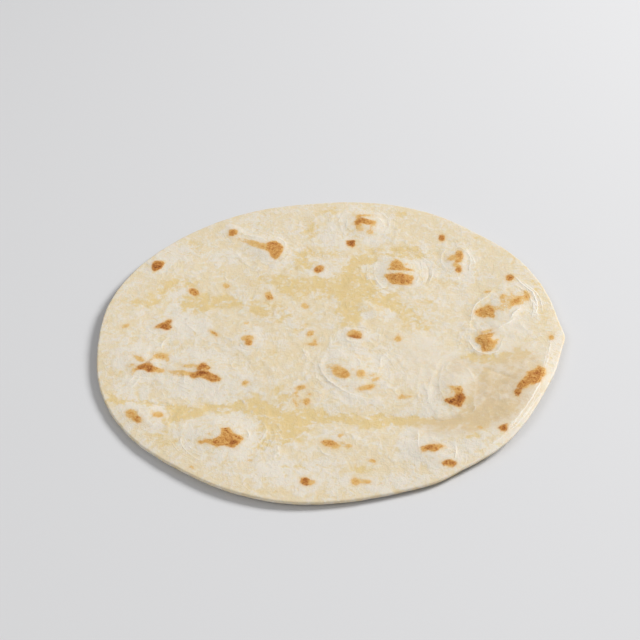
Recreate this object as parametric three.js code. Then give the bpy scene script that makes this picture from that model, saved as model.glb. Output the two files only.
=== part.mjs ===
// A flour tortilla: a round of soft wheat dough, rolled thin and browned on a hot griddle.
// It is one piece of dough, so it is one solid, and it lies flat with its spotted face up.
// Millimetres, +Z up. The origin is in the middle of the round, on the surface it lies on.

import * as THREE from 'three';

// Driving dimensions
const MEAN_RADIUS = 97.5;
const BODY_THICKNESS = 2.0;
const RIM_THICKNESS = 1.4;
const RIM_TAPER = 14; // the dough thins over this width towards its rim
const FLAT_RADIUS = 46; // the middle of the underside lies flat, as far out as this
const RIM_LIFT = 0.7; // the rim stands off the table by this much all round
const LEAST_THICKNESS = 1.1; // no pressed place is thinner than this

// How finely the round is divided
const SEGMENTS = 124;
const TOP_RINGS = 33;
const RIM_STEPS = 4;
const UNDER_RINGS = 8;

// The outline is hand rolled: it swells or draws in at these azimuths, in degrees,
// over these widths. The last one is a small pointed tip of dough.
const OUTLINE_LOBES = [
  { at: 41, rise: -1.2, width: 8 },
  { at: 62, rise: 0.9, width: 9 },
  { at: 93, rise: -1.7, width: 9 },
  { at: 181, rise: -1.2, width: 9 },
  { at: 231, rise: -0.8, width: 7 },
  { at: 258, rise: 1.4, width: 10 },
  { at: 292, rise: 0.9, width: 4 },
  { at: 309, rise: 0.9, width: 6 },
  { at: 331, rise: -1.2, width: 7 },
  { at: 352.5, rise: 1.6, width: 3 },
];

// Where the rim curls up off the table, in the same way
const LIFT_LOBES = [
  { at: 30, rise: 0.8, width: 16 },
  { at: 96, rise: 0.9, width: 20 },
  { at: 162, rise: 2.0, width: 24 },
  { at: 246, rise: 1.1, width: 22 },
];

// At the right the sheet rises in a low hump and its rim rolls over again. The hump starts and
// crests at these shares of the way from the flat middle to the rim, and by the rim it has
// lost this share of its rise.
const HUMP = { at: 322, rise: 3.0, width: 22, start: 0.12, crest: 0.92, droop: 0.22 };

// The blisters of the top face, where steam puffed the dough up. A blister is an oval of these
// half lengths, turned by this angle in degrees from +X, and its crown is this high.
const BLISTERS = [
  { x: 33.5, y: 39, long: 15, wide: 12.5, turn: 90, crown: 1.0 },
  { x: 60, y: 44, long: 13, wide: 8, turn: 80, crown: 0.7 },
  { x: 77, y: 7, long: 19, wide: 11, turn: 52, crown: 1.0 },
  { x: 66, y: -13, long: 8.5, wide: 7, turn: 90, crown: 0.8 },
  { x: 50, y: -39.5, long: 16, wide: 10, turn: 75, crown: 0.9 },
  { x: 79, y: -42, long: 14, wide: 8, turn: 55, crown: 0.7 },
  { x: 37, y: -77, long: 14, wide: 9, turn: 150, crown: 0.8 },
  { x: -42, y: -60.5, long: 18, wide: 14, turn: 160, crown: 1.0 },
  { x: -50, y: -20, long: 22, wide: 12, turn: 160, crown: 0.7 },
  { x: -76, y: -16, long: 12, wide: 9, turn: 160, crown: 0.6 },
  { x: -74, y: -46, long: 13, wide: 9, turn: 150, crown: 0.7 },
  { x: -24, y: 61.5, long: 16, wide: 11, turn: 130, crown: 0.8 },
  { x: 21, y: 76.5, long: 15, wide: 12, turn: 100, crown: 0.9 },
  { x: 9, y: -27, long: 18, wide: 15, turn: 150, crown: 0.9 },
  { x: 21, y: 13, long: 10, wide: 7, turn: 140, crown: 0.5 },
  { x: -68, y: 9.5, long: 10, wide: 8, turn: 20, crown: 0.5 },
  { x: -33, y: -3, long: 8, wide: 6, turn: 90, crown: 0.4 },
  { x: 12, y: -4, long: 8, wide: 6, turn: 0, crown: 0.4 },
  { x: -75, y: 51, long: 7, wide: 6, turn: 70, crown: 0.5 },
  { x: -41, y: 76, long: 7, wide: 6, turn: 90, crown: 0.4 },
];

// A long shallow valley crosses the front half, where the sheet sags and the dough is pressed
// thin. Its middle line swings between two levels of y as x grows.
const VALLEY = {
  middleY: -47.8,
  swing: 10.8,
  crossingX: -21.5,
  halfWave: 133,
  width: 7,
  depth: 0.55,
};

// The slow unevenness of a sheet rolled by hand
const UNEVENNESS = { height: 0.16, alongX: 9, alongY: 12, drift: 1.3 };

const FULL_TURN = 360;
const DOUGH = { color: 0xe9ddc4, roughness: 0.75, metalness: 0 };

function sumOfLobes(lobes, azimuth) {
  return lobes.reduce((total, { at, rise, width }) => {
    const apart = Math.abs(azimuth - at) % FULL_TURN;
    const nearest = Math.min(apart, FULL_TURN - apart);
    return total + rise * Math.exp(-0.5 * (nearest / width) ** 2);
  }, 0);
}

function outlineRadius(azimuth) {
  return MEAN_RADIUS + sumOfLobes(OUTLINE_LOBES, azimuth);
}

// The underside: flat in the middle, then curling up to the rim and over the hump
function undersideHeight(share, azimuth) {
  const flatShare = FLAT_RADIUS / MEAN_RADIUS;
  const out = THREE.MathUtils.clamp((share - flatShare) / (1 - flatShare), 0, 1);
  const curl = (RIM_LIFT + sumOfLobes(LIFT_LOBES, azimuth)) * out ** 2;
  const climb = THREE.MathUtils.smoothstep(out, HUMP.start, HUMP.crest);
  const fall = HUMP.droop * THREE.MathUtils.smoothstep(out, HUMP.crest, 1);
  return curl + sumOfLobes([HUMP], azimuth) * (climb - fall);
}

// A dome that leaves the sheet smoothly at the blister's edge
function blisterHeight({ x, y, long, wide, turn, crown }, px, py) {
  const angle = THREE.MathUtils.degToRad(turn);
  const along = (px - x) * Math.cos(angle) + (py - y) * Math.sin(angle);
  const across = (py - y) * Math.cos(angle) - (px - x) * Math.sin(angle);
  const reach = (along / long) ** 2 + (across / wide) ** 2;
  return reach < 1 ? crown * (1 - reach) ** 2 : 0;
}

function valleyDepth(px, py) {
  const { middleY, swing, crossingX, halfWave, width, depth } = VALLEY;
  const line = middleY - swing * Math.sin((Math.PI * (px - crossingX)) / halfWave);
  return depth * Math.exp(-0.5 * ((py - line) / width) ** 2);
}

function unevenness(px, py) {
  const { height, alongX, alongY, drift } = UNEVENNESS;
  const swayed = px / alongX + drift * Math.sin(py / alongY);
  return height * Math.sin(swayed) * Math.cos(py / alongY - drift * Math.sin(px / alongY));
}

function doughThickness(share, px, py) {
  const inward = THREE.MathUtils.clamp(((1 - share) * MEAN_RADIUS) / RIM_TAPER, 0, 1);
  const body = THREE.MathUtils.lerp(RIM_THICKNESS, BODY_THICKNESS, Math.sqrt(inward));
  const relief = unevenness(px, py) - valleyDepth(px, py);
  const crowns = BLISTERS.reduce((sum, blister) => sum + blisterHeight(blister, px, py), 0);
  return Math.max(body + relief * inward, LEAST_THICKNESS) + crowns;
}

// The section of the round from the axis out along the underside, round the rim and back over
// the top. Its height runs from 0 on the underside to 1 on the top.
function sectionProfile() {
  const rimRound = RIM_THICKNESS / 2;
  const faceRadius = MEAN_RADIUS - rimRound;
  const points = [new THREE.Vector2(0, 0)];
  for (let ring = 0; ring < UNDER_RINGS; ring += 1) {
    const radius = THREE.MathUtils.lerp(FLAT_RADIUS, faceRadius, ring / UNDER_RINGS);
    points.push(new THREE.Vector2(radius, 0));
  }
  for (let step = 0; step <= RIM_STEPS; step += 1) {
    const angle = Math.PI * (step / RIM_STEPS - 0.5);
    const radius = faceRadius + rimRound * Math.cos(angle);
    points.push(new THREE.Vector2(radius, 0.5 + 0.5 * Math.sin(angle)));
  }
  for (let ring = TOP_RINGS - 1; ring >= 0; ring -= 1) {
    points.push(new THREE.Vector2((faceRadius * ring) / TOP_RINGS, 1));
  }
  return points;
}

// The plain round is stretched to the rolled outline, and each point is raised to its height.
function tortillaGeometry() {
  const geometry = new THREE.LatheGeometry(sectionProfile(), SEGMENTS);
  geometry.rotateX(Math.PI / 2);
  const points = geometry.attributes.position;
  for (let i = 0; i < points.count; i += 1) {
    const x = points.getX(i);
    const y = points.getY(i);
    const share = Math.hypot(x, y) / MEAN_RADIUS;
    const azimuth = THREE.MathUtils.radToDeg(Math.atan2(y, x));
    const swell = outlineRadius(azimuth) / MEAN_RADIUS - 1;
    const stretch = 1 + swell * share ** 2;
    const px = x * stretch;
    const py = y * stretch;
    const under = undersideHeight(share, azimuth);
    points.setXYZ(i, px, py, under + points.getZ(i) * doughThickness(share, px, py));
  }
  return geometry;
}

// Puts the origin in the middle of the round's reach along X and along Y
function centred(geometry) {
  geometry.computeBoundingBox();
  const middle = geometry.boundingBox.getCenter(new THREE.Vector3());
  geometry.translate(-middle.x, -middle.y, 0);
  geometry.computeVertexNormals();
  return geometry;
}

const dough = new THREE.MeshStandardMaterial(DOUGH);
const tortilla = new THREE.Mesh(centred(tortillaGeometry()), dough);
tortilla.name = 'tortilla';

const group = new THREE.Group();
group.add(tortilla);

export default group;
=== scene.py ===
import math
import random

import bpy
import numpy as np
from mathutils import Matrix, Vector, noise


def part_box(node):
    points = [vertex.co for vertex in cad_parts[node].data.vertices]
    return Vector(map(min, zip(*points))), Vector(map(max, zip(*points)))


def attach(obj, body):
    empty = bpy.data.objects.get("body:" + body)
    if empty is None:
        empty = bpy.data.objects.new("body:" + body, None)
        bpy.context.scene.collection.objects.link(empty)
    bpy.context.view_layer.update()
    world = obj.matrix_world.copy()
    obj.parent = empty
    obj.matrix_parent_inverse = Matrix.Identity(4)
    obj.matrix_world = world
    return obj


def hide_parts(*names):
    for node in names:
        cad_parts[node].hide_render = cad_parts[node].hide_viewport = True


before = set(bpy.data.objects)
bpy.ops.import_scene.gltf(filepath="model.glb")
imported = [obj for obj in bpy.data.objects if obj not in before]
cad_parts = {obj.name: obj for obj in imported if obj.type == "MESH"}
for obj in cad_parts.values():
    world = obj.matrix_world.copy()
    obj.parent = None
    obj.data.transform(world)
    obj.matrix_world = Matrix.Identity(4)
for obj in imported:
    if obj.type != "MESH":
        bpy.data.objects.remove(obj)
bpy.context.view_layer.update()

# ---------------------------------------------------------------------------------------------
# The tortilla is one round of soft wheat dough, rolled thin by hand and baked on a hot griddle.
# Steam lifts blisters in it, whose crowns touch the iron and brown. Between the blisters the
# sheet is pressed thin and turns yellow and a little clear. Its sizes here are in millimetres.
# ---------------------------------------------------------------------------------------------
MM = 0.001
MEAN_RADIUS = 97.5
BODY_THICKNESS = 2.0
RIM_THICKNESS = 1.4
RIM_TAPER = 14.0
FLAT_RADIUS = 46.0
RIM_LIFT = 0.7
LEAST_THICKNESS = 1.1
RIM_ROUND, RIM_ROUND_STEPS = 0.6, 3
RIM_NOTCHES, NOTCH_SIZE = 0.16, 5.0

# A six sided fan of triangles is the sheet before it is rounded. It is cut twice, its edges into
# this many parts each time.
FAN_SIDES = 6
SHEET_CUTS = (4, 31)

# Places round the rim, in degrees from +X: where it is, by how much, and over what width
OUTLINE_LOBES = [
    (41, -1.2, 8), (62, 0.9, 9), (93, -1.7, 9), (181, -1.2, 9), (231, -0.8, 7), (258, 1.4, 10),
    (292, 0.9, 4), (309, 0.9, 6), (331, -1.2, 7), (352.5, 1.6, 3),
]
LIFT_LOBES = [(30, 0.8, 16), (96, 0.9, 20), (162, 2.0, 24), (246, 1.1, 22)]
HUMP_LOBES = [(322, 3.0, 22)]

# The hump starts and crests at these shares of the way from the flat middle to the rim, and by
# the rim it has lost this share of its rise.
HUMP_START, HUMP_CREST, HUMP_DROOP = 0.12, 0.92, 0.22

# The blisters: x, y, half length, half width, turn in degrees from +X, and height of the crown
BLISTERS = [
    (33.5, 39, 15, 12.5, 90, 1.0), (60, 44, 13, 8, 80, 0.7), (77, 7, 19, 11, 52, 1.0),
    (66, -13, 8.5, 7, 90, 0.8), (50, -39.5, 16, 10, 75, 0.9), (79, -42, 14, 8, 55, 0.7),
    (37, -77, 14, 9, 150, 0.8), (-42, -60.5, 18, 14, 160, 1.0), (-50, -20, 22, 12, 160, 0.7),
    (-76, -16, 12, 9, 160, 0.6), (-74, -46, 13, 9, 150, 0.7), (-24, 61.5, 16, 11, 130, 0.8),
    (21, 76.5, 15, 12, 100, 0.9), (9, -27, 18, 15, 150, 0.9), (21, 13, 10, 7, 140, 0.5),
    (-68, 9.5, 10, 8, 20, 0.5), (-33, -3, 8, 6, 90, 0.4), (12, -4, 8, 6, 0, 0.4),
    (-75, 51, 7, 6, 70, 0.5), (-41, 76, 7, 6, 90, 0.4),
]

# The valley across the front half swings between two levels of y as x grows. The swells are the
# slow unevenness of a sheet rolled by hand.
VALLEY_MIDDLE, VALLEY_SWING, VALLEY_CROSSING, VALLEY_HALF_WAVE = -47.8, 10.8, -21.5, 133.0
VALLEY_WIDTH, VALLEY_DEPTH = 7.0, 0.55
SWELL_HEIGHT, SWELL_X, SWELL_Y, SWELL_DRIFT = 0.16, 9.0, 12.0, 1.3

# Rings of puckered skin stand round a blister, at these multiples of its size. Its edge wavers,
# and the floury halo over it fades out between two more such multiples.
PUCKER_RINGS = (0.95, 1.12, 1.3)
PUCKER_RISE, PUCKER_WIDTH, PUCKER_WAVER = 0.12, 0.5, 0.07
BLISTER_WAVER = 1.1
HALO_INNER, HALO_OUTER = 0.75, 1.35

# How softly the distances from two blisters join, and the distance told to the underside
AROUND_SOFT, FAR_FROM_BLISTERS = 2.5, 20.0

# The uneven skin: how broad its sways, lumps and grit are, and how high. The underside is smooth
# from this share of the way out.
SWAY_SIZE, LUMP_SIZE, GRIT_SIZE = 11.0, 5.0, 1.8
LUMP_HEIGHT, UNDER_LUMP_HEIGHT, GRIT_HEIGHT = 0.12, 0.10, 0.05
UNDER_RIM_SHARE = 0.98


def read_points(piece):
    """The places of all its vertices, in millimetres."""
    flat = np.empty(len(piece.data.vertices) * 3)
    piece.data.vertices.foreach_get("co", flat)
    return flat.reshape(-1, 3) / MM


def write_points(piece, points):
    piece.data.vertices.foreach_set("co", (points * MM).ravel())
    piece.data.update()


def smooth_step(value, low, high):
    """0 up to low, 1 from high on, and smooth between them."""
    share = np.clip((value - low) / (high - low), 0.0, 1.0)
    return share * share * (3.0 - 2.0 * share)


def bell(distance, width):
    return np.exp(-0.5 * (distance / width) ** 2)


def lobes(azimuth, places):
    """The sum of bumps at places round the rim, each a bell over its own width."""
    total = np.zeros_like(azimuth)
    for at, rise, width in places:
        apart = np.abs(azimuth - at) % 360.0
        total += rise * bell(np.minimum(apart, 360.0 - apart), width)
    return total


def grain(x, y, size, layer, octaves=2):
    """Smooth noise from about -1 to 1 with lumps of that size, another pattern for each layer."""
    return np.array([
        noise.fractal(Vector((u, v, layer)), 1.0, 2.0, octaves)
        for u, v in zip(x / size, y / size)
    ])


def oval_reach(x, y, oval):
    """0 in the middle of an oval and 1 on its edge."""
    middle_x, middle_y, half_length, half_width, turn = oval[:5]
    angle = math.radians(turn)
    along = (x - middle_x) * math.cos(angle) + (y - middle_y) * math.sin(angle)
    across = (y - middle_y) * math.cos(angle) - (x - middle_x) * math.sin(angle)
    return np.hypot(along / half_length, across / half_width)


# The flat sheet, rounded and given its thickness and its soft rim
bpy.ops.object.select_all(action="DESELECT")
bpy.ops.mesh.primitive_circle_add(vertices=FAN_SIDES, radius=MEAN_RADIUS * MM, fill_type="TRIFAN")
tortilla = bpy.context.object
tortilla.name = "dough_round"
bpy.ops.object.mode_set(mode="EDIT")
bpy.ops.mesh.select_all(action="SELECT")
for parts in SHEET_CUTS:
    bpy.ops.mesh.subdivide(number_cuts=parts - 1)
bpy.ops.object.mode_set(mode="OBJECT")

points = read_points(tortilla)
side_angles = np.radians(np.arange(FAN_SIDES) * 360.0 / FAN_SIDES)
to_sides = points[:, :1] * np.cos(side_angles) + points[:, 1:2] * np.sin(side_angles)
ring_radius = to_sides.max(axis=1) / math.cos(math.pi / FAN_SIDES)
radius = np.maximum(np.hypot(points[:, 0], points[:, 1]), 1e-6)
points[:, :2] *= (ring_radius / radius)[:, None]
write_points(tortilla, points)

bpy.ops.object.modifier_add(type="SOLIDIFY")
tortilla.modifiers[-1].thickness = BODY_THICKNESS * MM
tortilla.modifiers[-1].offset = 1.0
bpy.ops.object.modifier_apply(modifier=tortilla.modifiers[-1].name)
bpy.ops.object.mode_set(mode="EDIT")
bpy.ops.mesh.select_mode(type="EDGE")
bpy.ops.mesh.select_all(action="DESELECT")
bpy.ops.mesh.edges_select_sharp(sharpness=math.radians(60))
bpy.ops.mesh.bevel(offset=RIM_ROUND * MM, segments=RIM_ROUND_STEPS, affect="EDGES")
bpy.ops.object.mode_set(mode="OBJECT")
bpy.ops.object.shade_smooth()

# Every point's place on the sheet: how far out, which way, and how high between the two faces
points = read_points(tortilla)
share = np.hypot(points[:, 0], points[:, 1]) / MEAN_RADIUS
azimuth = np.degrees(np.arctan2(points[:, 1], points[:, 0]))
level = points[:, 2] / BODY_THICKNESS
on_top = level > 0.5

swell = lobes(azimuth, OUTLINE_LOBES) / MEAN_RADIUS
notch = RIM_NOTCHES * grain(points[:, 0], points[:, 1], NOTCH_SIZE, 3.0) / MEAN_RADIUS
stretch = 1.0 + swell * share ** 2 + notch * share ** 8
x = points[:, 0] * stretch
y = points[:, 1] * stretch

# The underside lies flat in the middle and curls up at the rim. At the right the sheet rises
# in a low hump and its rim rolls over again.
out = np.clip((share * MEAN_RADIUS - FLAT_RADIUS) / (MEAN_RADIUS - FLAT_RADIUS), 0.0, 1.0)
curl = (RIM_LIFT + lobes(azimuth, LIFT_LOBES)) * out ** 2
hump = smooth_step(out, HUMP_START, HUMP_CREST) - HUMP_DROOP * smooth_step(out, HUMP_CREST, 1.0)
underside = curl + lobes(azimuth, HUMP_LOBES) * hump

# The broad relief of the top: swells, the valley, and the domes of the blisters with the skin
# puckered round them
inward = np.clip((1.0 - share) * MEAN_RADIUS / RIM_TAPER, 0.0, 1.0)
body = RIM_THICKNESS + (BODY_THICKNESS - RIM_THICKNESS) * np.sqrt(inward)
swayed = x / SWELL_X + SWELL_DRIFT * np.sin(y / SWELL_Y)
swells = SWELL_HEIGHT * np.sin(swayed) * np.cos(y / SWELL_Y - SWELL_DRIFT * np.sin(x / SWELL_Y))
valley_line = VALLEY_MIDDLE - VALLEY_SWING * np.sin(
    math.pi * (x - VALLEY_CROSSING) / VALLEY_HALF_WAVE
)
valley = VALLEY_DEPTH * bell(y - valley_line, VALLEY_WIDTH)

skin_sway = grain(x, y, SWAY_SIZE, 1.0)
skin_lumps = grain(x, y, LUMP_SIZE, 2.0, 3)
skin_grit = grain(x, y, GRIT_SIZE, 4.0)
domes = np.zeros_like(x)
puckers = np.zeros_like(x)
halo = np.zeros_like(x)
near_blister = np.zeros_like(x)
for blister in BLISTERS:
    smaller_half, crown = blister[3], blister[5]
    reach = oval_reach(x + BLISTER_WAVER * skin_sway, y - BLISTER_WAVER * skin_sway, blister)
    domes += crown * np.clip(1.0 - reach ** 2, 0.0, None) ** 2
    for ring in PUCKER_RINGS:
        wavering = reach - ring + PUCKER_WAVER * skin_lumps
        puckers += PUCKER_RISE * crown * bell(wavering * smaller_half, PUCKER_WIDTH)
    halo = np.maximum(halo, 1.0 - smooth_step(reach, HALO_INNER, HALO_OUTER))
    near_blister += np.exp((1.0 - reach) * smaller_half / AROUND_SOFT)
puckers *= smooth_step(skin_lumps, -0.4, 0.3)

# How far a place is outside the edge of the nearest blister, below zero on it
around = -AROUND_SOFT * np.log(near_blister)

# The marks below are placed on a flat sheet seen from the front at this slant. A raised place is
# seen further back, so its marks are looked up there.
SIGHT_SLANT = math.radians(38.87)
raised = underside + body - BODY_THICKNESS + domes
seen_y = y + raised / math.tan(SIGHT_SLANT)

# Folds and wrinkles of the skin: the points that each runs through, its half width, and how
# far it stands up, or sinks where that is below zero
WRINKLES = [
    ([(25, 49), (23, 43), (23, 35), (26, 28), (31, 24)], 0.5, 0.2),
    ([(22.5, 47), (20.5, 40), (21, 33), (24, 26), (29, 22.5)], 0.5, 0.15),
    ([(46, 45), (47, 38), (45.5, 31), (42.5, 26)], 0.5, -0.25),
    ([(48, 43), (48.5, 37), (47, 31), (44.5, 26)], 0.6, 0.15),
    ([(41, 47), (43, 41), (42.5, 34), (39, 28), (33, 25.5)], 0.5, 0.12),
    ([(57, 54), (54, 50), (53.5, 44), (55, 39)], 0.6, 0.22),
    ([(61, 57), (64.5, 52), (66.5, 47), (65.5, 40), (64.5, 35)], 0.6, 0.3),
    ([(64, 55), (66.5, 50), (68, 44), (67.5, 38)], 0.6, 0.2),
    ([(75, 24), (70, 17.5), (65, 13), (62.5, 7), (60.5, 0), (60, -5)], 0.7, 0.35),
    ([(66, 12), (63, 6), (61.5, 1)], 0.5, 0.25),
    ([(84, 31), (86, 26), (89, 21), (90.5, 15), (90, 8), (88, 2)], 0.7, 0.7),
    ([(87, 27), (91, 19), (92.5, 12), (91.5, 5)], 0.6, 0.5),
    ([(83, 25), (87, 20), (88.6, 14), (88.6, 8), (87, 2)], 0.5, 0.5),
    ([(77.8, 2.0), (79.1, 4.5), (81, 6.5), (83, 8.6)], 0.4, 1.0),
    ([(71.5, -5), (74, -2.8), (76.5, -1.2), (79, 1.4)], 0.4, 0.8),
    ([(60, -8), (59, -13), (61, -18), (65, -20), (69.5, -18.5), (72, -14)], 0.7, 0.33),
    ([(54, -15), (49, -20), (45.5, -26), (43, -33), (41.5, -41), (42, -48)], 1.3, -0.12),
    ([(52, -15.5), (46.5, -21), (43, -28), (40, -36), (38.5, -44), (39.5, -52)], 0.5, 0.13),
    ([(47, -24), (45, -31), (43.5, -38), (44.5, -46), (48, -52)], 0.5, 0.16),
    ([(38, -24), (36, -32), (34.5, -41), (35.5, -50)], 0.5, 0.14),
    ([(55, -26), (57, -32), (57.5, -39), (56, -46)], 0.5, 0.22),
    ([(18, -57), (32, -57), (46, -58), (58, -58), (67, -54)], 2.6, -0.9),
    ([(92.5, -12), (89.5, -22), (85.5, -33), (79, -46), (71, -58), (60, -70)], 0.7, 0.5),
    ([(90, -16), (87, -27), (82.5, -37), (77, -46)], 0.5, 0.35),
    ([(84, -43), (78, -52), (71, -61), (63, -69), (54, -76)], 0.6, 0.45),
    ([(88, -37), (82, -49), (74, -60)], 0.5, 0.3),
    ([(50, -31.5), (47.5, -28.5), (49, -24.5), (52.5, -24), (54, -27), (52.5, -31)], 0.5, 0.18),
    ([(36.5, -30), (38, -38), (38.5, -46), (38, -54)], 0.7, 0.12),
    ([(54, -45), (56, -50), (54, -54), (49, -55)], 0.7, 0.22),
    ([(-10, -8), (-9.5, -14), (-6, -21), (-5, -29), (-2, -34)], 0.7, 0.24),
    ([(-5, -13), (-4, -20), (-2.5, -27), (1, -33), (7, -39), (14, -43), (24, -46)], 0.7, 0.28),
    ([(-8, -12), (-7, -18), (-4.5, -26), (-1.5, -32), (5, -38.5)], 0.6, -0.12),
    ([(-1, -15), (-3, -19), (-3, -24)], 0.5, 0.28),
    ([(23, -17), (21.5, -20), (21, -24), (19, -29)], 0.6, 0.24),
    ([(46, -71), (45.5, -75), (44.5, -79)], 0.5, 0.4),
    ([(40, -71), (43.5, -73.5), (46, -76)], 0.5, 0.3),
    ([(33, -62), (32, -68), (32, -75)], 1.0, 0.3),
    ([(-33, -57), (-32.3, -60), (-32.6, -63)], 0.5, 0.35),
    ([(-48, -52), (-44, -51), (-41, -51.5)], 0.5, 0.25),
    ([(-57, -56), (-58.5, -62), (-54, -68), (-46, -71)], 0.7, 0.1),
    ([(-28, -52), (-25.5, -58), (-28, -64), (-34, -68.5)], 0.7, 0.2),
    ([(-13.5, 62), (-15, 57), (-18, 52), (-22, 49)], 0.5, 0.25),
    ([(-20, 71), (-17, 67), (-16, 62)], 0.5, 0.2),
    ([(-37, 77), (-35.5, 74), (-30, 72), (-24, 70)], 0.7, 0.25),
    ([(10, 85), (9, 80), (10, 74)], 0.5, 0.2),
    ([(13, 82), (12.5, 77), (14, 72)], 0.5, 0.18),
    ([(27, 83), (29, 79), (30, 74)], 0.5, 0.28),
    ([(30, 85), (32, 80), (32, 74), (29, 69)], 0.5, 0.2),
    ([(-62, 13), (-58, 8), (-55, 3)], 0.5, 0.22),
    ([(-66, 3), (-69, -1), (-69.5, -6)], 0.5, 0.3),
    ([(-76, 9), (-74.5, 6.5), (-72, 5)], 0.4, 0.2),
    ([(-55, 3), (-52, -1), (-48, -3)], 0.5, 0.18),
    ([(-38, -14), (-40, -18), (-39, -21)], 0.5, 0.25),
    ([(-77, -22), (-79, -27), (-81, -29)], 0.5, 0.25),
    ([(-76, -12), (-73.5, -13), (-71.5, -11)], 0.5, 0.35),
    ([(-84, -36), (-76, -37.5), (-70, -39), (-62, -41.5)], 0.7, -0.25),
    ([(37, -56), (42, -57.5), (48, -57)], 0.8, -0.25),
    ([(61, -28), (67, -31.5), (73, -36)], 0.6, -0.28),
    ([(5, -51), (14, -53), (24, -53.5), (34, -53)], 0.6, -0.14),
    ([(-5, -63), (-2, -61), (3, -60.5), (8, -64), (8.5, -69)], 0.6, 0.2),
    ([(-6, -68), (-4, -72), (0, -74)], 0.5, 0.18),
    ([(7.5, -3), (9, -7), (13, -8)], 0.5, 0.18),
    ([(16, 17), (19, 20), (23, 19)], 0.6, 0.2),
]

# The loose wrinkles between them: how many, how far out, and from what to what they measure
LOOSE_WRINKLES = 170
LOOSE_REACH = 0.93 * MEAN_RADIUS
LOOSE_LENGTHS, LOOSE_HALF_WIDTHS, LOOSE_RISES = (4, 13), (0.4, 0.7), (-0.12, 0.26)
LOOSE_CORNERS = 4

ROUTE_STEPS = 5  # from one corner of a wrinkle to the next
FOLD_REACH = 3.0  # how many half widths beside it a wrinkle is still felt
CREST_REACH = 3.0  # how far beside a crest the dough is still told of it
FOLD_SHARE = 0.6  # how much of a wrinkle's rise the sheet takes
BROAD_FOLD = 1.2  # a fold with a greater half width has no crest
PLACED_UNBROKEN = 0.6  # how much of a wrinkle above stays where the skin is patchy
PATCHINESS_SIZE = 6.0


def route_points(corners):
    """A smooth way through the corners, as points close together."""
    spots = np.array(corners, dtype=float)
    padded = np.vstack([2 * spots[0] - spots[1], spots, 2 * spots[-1] - spots[-2]])
    way = []
    for before, start, end, after in zip(padded, padded[1:], padded[2:], padded[3:]):
        for step in range(ROUTE_STEPS):
            t = step / ROUTE_STEPS
            way.append(0.5 * (
                2 * start + (end - before) * t
                + (2 * before - 5 * start + 4 * end - after) * t ** 2
                + (3 * start - before - 3 * end + after) * t ** 3
            ))
    way.append(spots[-1])
    return np.array(way)


def near_corners(px, py, corners, reach):
    """Which places are in the box round the corners, or at most that far outside it."""
    low = corners.min(axis=0) - reach
    high = corners.max(axis=0) + reach
    return (px > low[0]) & (px < high[0]) & (py > low[1]) & (py < high[1])


def beside_stretch(places, start, end):
    """How far each place is from a straight stretch, the share of the stretch that it is
    nearest to, and a side that is above zero to the left of it."""
    run = end - start
    offset = places - start
    share = np.clip(offset @ run / (run @ run), 0.0, 1.0)
    apart = np.linalg.norm(offset - share[:, None] * run, axis=1)
    return apart, share, run[0] * offset[:, 1] - run[1] * offset[:, 0]


def fold(px, py, corners, half_width):
    """How far each place is beside the way through the corners, to the left of it above zero,
    and a strength of 1 on the way that fades beside it and towards both its ends."""
    way = route_points(corners)
    near = near_corners(px, py, way, FOLD_REACH * half_width)
    places = np.stack([px[near], py[near]], axis=1)
    beside = np.full(len(places), np.inf)
    passed = np.zeros(len(places))
    stretches = len(way) - 1
    for index in range(stretches):
        apart, share, side = beside_stretch(places, way[index], way[index + 1])
        closer = apart < np.abs(beside)
        beside[closer] = np.where(side < 0.0, -apart, apart)[closer]
        passed[closer] = (index + share[closer]) / stretches
    strength = bell(beside, half_width) * np.sqrt(np.sin(math.pi * np.clip(passed, 0.0, 1.0)))
    return near, beside, strength


def loose_wrinkles(count, draw):
    """Short wrinkles at random, more across the round than along it."""
    found = []
    for _ in range(count):
        far = LOOSE_REACH * math.sqrt(draw.random())
        turn = draw.uniform(0, 2 * math.pi)
        heading = draw.gauss(math.radians(70), 0.7)
        bend = draw.gauss(0, 0.35)
        length = draw.uniform(*LOOSE_LENGTHS)
        step = length / (LOOSE_CORNERS - 1)
        place = Vector((far * math.cos(turn), far * math.sin(turn)))
        corners = []
        for _ in range(LOOSE_CORNERS):
            corners.append(tuple(place))
            place = place + Vector((math.cos(heading), math.sin(heading))) * step
            heading += bend
        found.append((corners, draw.uniform(*LOOSE_HALF_WIDTHS), draw.uniform(*LOOSE_RISES)))
    return found


# Each wrinkle is a rise of the sheet. The two sets tell the dough where the crests of every
# other one run, so that a crest can be sharper than the mesh.
draw = random.Random(11)
folds = np.zeros_like(x)
patchiness = smooth_step(grain(x, y, PATCHINESS_SIZE, 9.0), -0.45, 0.25)
crest_beside = [np.full_like(x, CREST_REACH) for _ in range(2)]
crest_rise = [np.zeros_like(x) for _ in range(2)]
for index, (corners, half_width, rise) in enumerate(WRINKLES + loose_wrinkles(LOOSE_WRINKLES, draw)):
    near, beside, strength = fold(x, seen_y, corners, half_width)
    unbroken = PLACED_UNBROKEN if index < len(WRINKLES) else 0.0
    strength *= unbroken + (1.0 - unbroken) * patchiness[near]
    folds[near] += FOLD_SHARE * rise * strength
    if half_width > BROAD_FOLD:
        continue
    beside_set, rise_set = crest_beside[index % 2], crest_rise[index % 2]
    closer = np.abs(beside) < np.abs(beside_set[near])
    places = np.flatnonzero(near)[closer]
    beside_set[places] = beside[closer]
    rise_set[places] = rise * strength[closer]

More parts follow.
